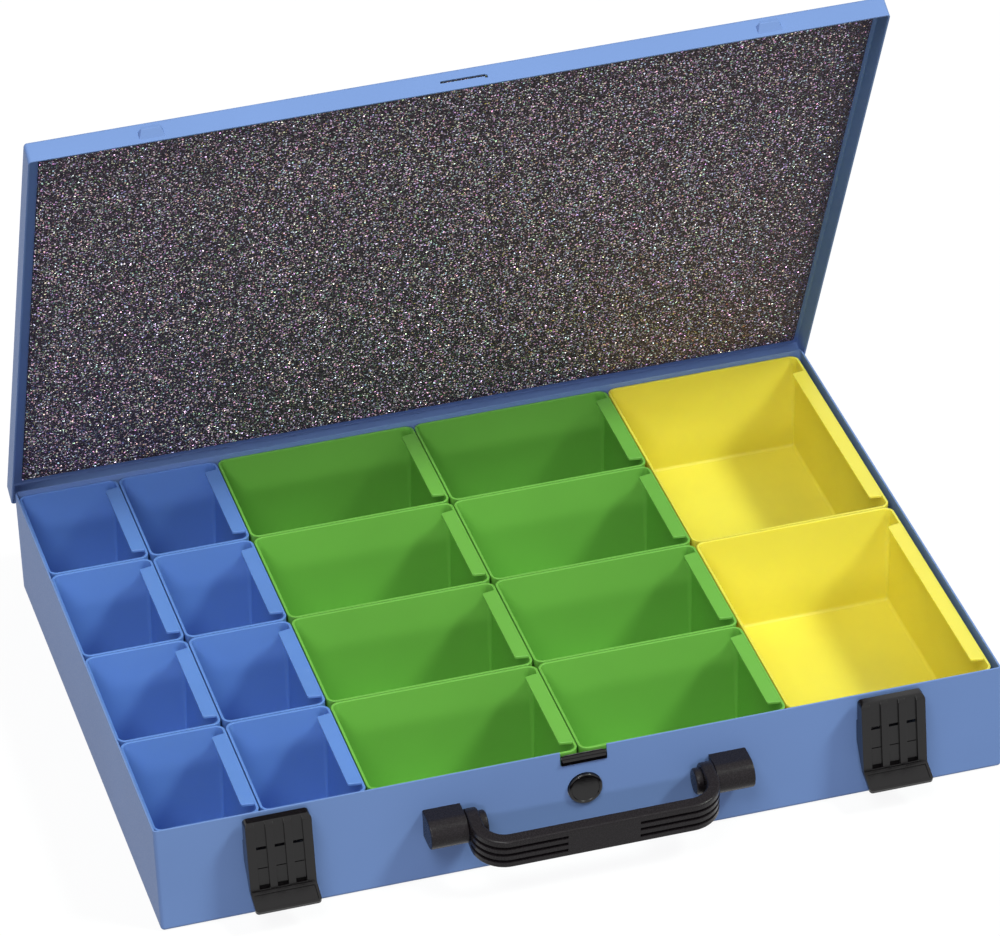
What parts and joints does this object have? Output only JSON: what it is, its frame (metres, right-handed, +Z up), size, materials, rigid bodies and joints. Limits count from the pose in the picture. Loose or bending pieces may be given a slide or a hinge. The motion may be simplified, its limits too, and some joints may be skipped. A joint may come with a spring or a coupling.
{
  "type": "assortment case",
  "caption": "Hinged sheet-steel case with lift-out plastic bins in three sizes, two side latches, a push-button lock and a swinging carrying handle.",
  "frame": {"origin": "centre of the tray's flat underside", "axes": "+X to the right along the front, +Y from the front (handle side) to the hinge, +Z up"},
  "size_m": [0.44, 0.3728, 0.3478],
  "materials": {
    "blue_paint": "smooth light blue powder coat on folded steel sheet",
    "blue_bin": "moulded blue polystyrene, satin",
    "green_bin": "moulded green polystyrene, satin",
    "yellow_bin": "moulded yellow polystyrene, satin",
    "black_plastic": "fine-textured black plastic",
    "foam": "dark grey flecked foam sheet, 2.5 mm",
    "plated_steel": "zinc-plated steel"
  },
  "bodies": {
    "case": {"base_shell": "blue_paint", "base_hinge_leaf": "blue_paint", "hinge_rod": "plated_steel", "latch_bracket_left": "plated_steel", "latch_bracket_right": "plated_steel", "latch_pin_left": "plated_steel", "latch_pin_right": "plated_steel", "latch_spring_left": "plated_steel", "latch_spring_right": "plated_steel", "latch_rivets": "plated_steel", "lock_anchor": "plated_steel", "lock_rivets": "plated_steel", "handle_boss_left": "black_plastic", "handle_boss_right": "black_plastic", "handle_pin_left": "black_plastic", "handle_pin_right": "black_plastic", "handle_rivets": "plated_steel"},
    "lid": {"lid_shell": "blue_paint", "lid_foam_pad": "foam"},
    "small_bin_1": {"small_bin_1": "blue_bin"},
    "small_bin_2": {"small_bin_2": "blue_bin"},
    "small_bin_3": {"small_bin_3": "blue_bin"},
    "small_bin_4": {"small_bin_4": "blue_bin"},
    "small_bin_5": {"small_bin_5": "blue_bin"},
    "small_bin_6": {"small_bin_6": "blue_bin"},
    "small_bin_7": {"small_bin_7": "blue_bin"},
    "small_bin_8": {"small_bin_8": "blue_bin"},
    "medium_bin_1": {"medium_bin_1": "green_bin"},
    "medium_bin_2": {"medium_bin_2": "green_bin"},
    "medium_bin_3": {"medium_bin_3": "green_bin"},
    "medium_bin_4": {"medium_bin_4": "green_bin"},
    "medium_bin_5": {"medium_bin_5": "green_bin"},
    "medium_bin_6": {"medium_bin_6": "green_bin"},
    "medium_bin_7": {"medium_bin_7": "green_bin"},
    "medium_bin_8": {"medium_bin_8": "green_bin"},
    "large_bin_front": {"large_bin_front": "yellow_bin"},
    "large_bin_rear": {"large_bin_rear": "yellow_bin"},
    "latch_left": {"latch_lever_left": "black_plastic"},
    "latch_right": {"latch_lever_right": "black_plastic"},
    "lock": {"lock_button": "black_plastic", "lock_nose": "black_plastic", "lock_strip": "plated_steel"},
    "handle": {"handle_grip": "black_plastic"}
  },
  "joints": [
    {"name": "lid_hinge", "type": "hinge", "parent": "case", "child": "lid", "pos_m": [0, 0.16625, 0.051], "axis": [-1, 0, 0], "range_deg": [-61.8, 45]},
    {"name": "small_bin_1_lift", "type": "slide", "parent": "case", "child": "small_bin_1", "axis": [0, 0, 1], "range_m": [0, 0.062]},
    {"name": "small_bin_2_lift", "type": "slide", "parent": "case", "child": "small_bin_2", "axis": [0, 0, 1], "range_m": [0, 0.062]},
    {"name": "small_bin_3_lift", "type": "slide", "parent": "case", "child": "small_bin_3", "axis": [0, 0, 1], "range_m": [0, 0.062]},
    {"name": "small_bin_4_lift", "type": "slide", "parent": "case", "child": "small_bin_4", "axis": [0, 0, 1], "range_m": [0, 0.062]},
    {"name": "small_bin_5_lift", "type": "slide", "parent": "case", "child": "small_bin_5", "axis": [0, 0, 1], "range_m": [0, 0.062]},
    {"name": "small_bin_6_lift", "type": "slide", "parent": "case", "child": "small_bin_6", "axis": [0, 0, 1], "range_m": [0, 0.062]},
    {"name": "small_bin_7_lift", "type": "slide", "parent": "case", "child": "small_bin_7", "axis": [0, 0, 1], "range_m": [0, 0.015]},
    {"name": "small_bin_8_lift", "type": "slide", "parent": "case", "child": "small_bin_8", "axis": [0, 0, 1], "range_m": [0, 0.015]},
    {"name": "medium_bin_1_lift", "type": "slide", "parent": "case", "child": "medium_bin_1", "axis": [0, 0, 1], "range_m": [0, 0.062]},
    {"name": "medium_bin_2_lift", "type": "slide", "parent": "case", "child": "medium_bin_2", "axis": [0, 0, 1], "range_m": [0, 0.062]},
    {"name": "medium_bin_3_lift", "type": "slide", "parent": "case", "child": "medium_bin_3", "axis": [0, 0, 1], "range_m": [0, 0.062]},
    {"name": "medium_bin_4_lift", "type": "slide", "parent": "case", "child": "medium_bin_4", "axis": [0, 0, 1], "range_m": [0, 0.062]},
    {"name": "medium_bin_5_lift", "type": "slide", "parent": "case", "child": "medium_bin_5", "axis": [0, 0, 1], "range_m": [0, 0.062]},
    {"name": "medium_bin_6_lift", "type": "slide", "parent": "case", "child": "medium_bin_6", "axis": [0, 0, 1], "range_m": [0, 0.062]},
    {"name": "medium_bin_7_lift", "type": "slide", "parent": "case", "child": "medium_bin_7", "axis": [0, 0, 1], "range_m": [0, 0.015]},
    {"name": "medium_bin_8_lift", "type": "slide", "parent": "case", "child": "medium_bin_8", "axis": [0, 0, 1], "range_m": [0, 0.015]},
    {"name": "large_bin_front_lift", "type": "slide", "parent": "case", "child": "large_bin_front", "axis": [0, 0, 1], "range_m": [0, 0.062]},
    {"name": "large_bin_rear_lift", "type": "slide", "parent": "case", "child": "large_bin_rear", "axis": [0, 0, 1], "range_m": [0, 0.015]},
    {"name": "latch_left_pivot", "type": "hinge", "parent": "case", "child": "latch_left", "pos_m": [-0.1577, -0.1664, 0.034], "axis": [1, 0, 0], "range_deg": [0, 12], "stiffness_Nm_per_rad": 0.15, "springref_deg": -34.38},
    {"name": "latch_right_pivot", "type": "hinge", "parent": "case", "child": "latch_right", "pos_m": [0.1577, -0.1664, 0.034], "axis": [1, 0, 0], "range_deg": [0, 12], "stiffness_Nm_per_rad": 0.15, "springref_deg": -34.38},
    {"name": "lock_push", "type": "hinge", "parent": "case", "child": "lock", "pos_m": [0, -0.16162, 0.012], "axis": [-1, 0, 0], "range_deg": [0, 1.8], "stiffness_Nm_per_rad": 3, "springref_deg": -1.72},
    {"name": "handle_swing", "type": "hinge", "parent": "case", "child": "handle", "pos_m": [0, -0.1721, 0.034], "axis": [-1, 0, 0], "range_deg": [-78, 70]}
  ]
}
